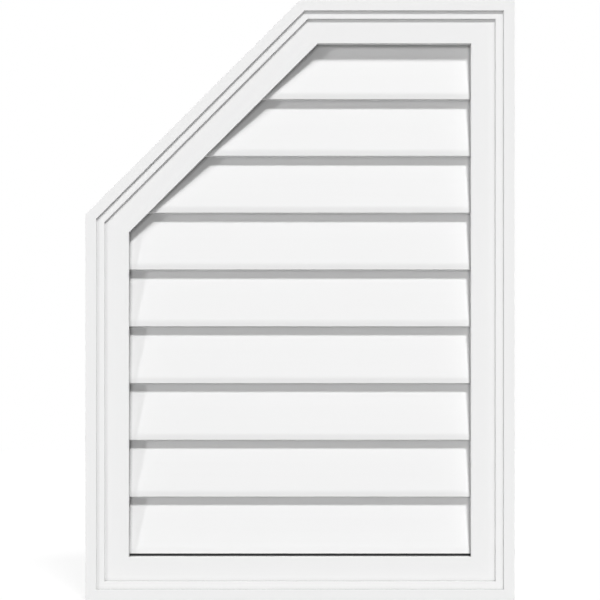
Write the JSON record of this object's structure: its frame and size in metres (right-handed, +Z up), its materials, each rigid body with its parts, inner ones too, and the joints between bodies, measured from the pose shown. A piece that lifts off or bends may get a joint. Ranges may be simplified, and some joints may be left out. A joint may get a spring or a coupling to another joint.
{
  "type": "gable vent",
  "caption": "Louvred gable vent in a stepped moulding frame with a sloping upper left corner; fixed slanted blades shed rain and pass attic air, with an insect screen behind",
  "frame": {"origin": "middle of the bottom edge of the wall face, on the wall plane", "axes": "+X to the right seen from the front, +Y into the wall, +Z up; the front faces -Y"},
  "size_m": [0.508, 0.0381, 0.7112],
  "materials": {
    "frame_pvc": "satin white",
    "liner_pvc": "satin white",
    "louver_pvc": "satin white",
    "seal_foam": "closed-cell foam",
    "screen_cloth": "coated mesh",
    "staple_steel": "bright"
  },
  "bodies": {
    "root": {"sill_rail": "frame_pvc", "right_stile": "frame_pvc", "head_rail": "frame_pvc", "raking_rail": "frame_pvc", "left_stile": "frame_pvc", "sill_liner": "liner_pvc", "right_liner": "liner_pvc", "head_liner": "liner_pvc", "raking_liner": "liner_pvc", "left_liner": "liner_pvc", "louver_1": "louver_pvc", "louver_2": "louver_pvc", "louver_3": "louver_pvc", "louver_4": "louver_pvc", "louver_5": "louver_pvc", "louver_6": "louver_pvc", "louver_7": "louver_pvc", "louver_8": "louver_pvc", "louver_9": "louver_pvc", "sill_seal": "seal_foam", "insect_screen": "screen_cloth", "screen_staples": "staple_steel", "mitre_staples": "staple_steel"}
  },
  "joints": []
}
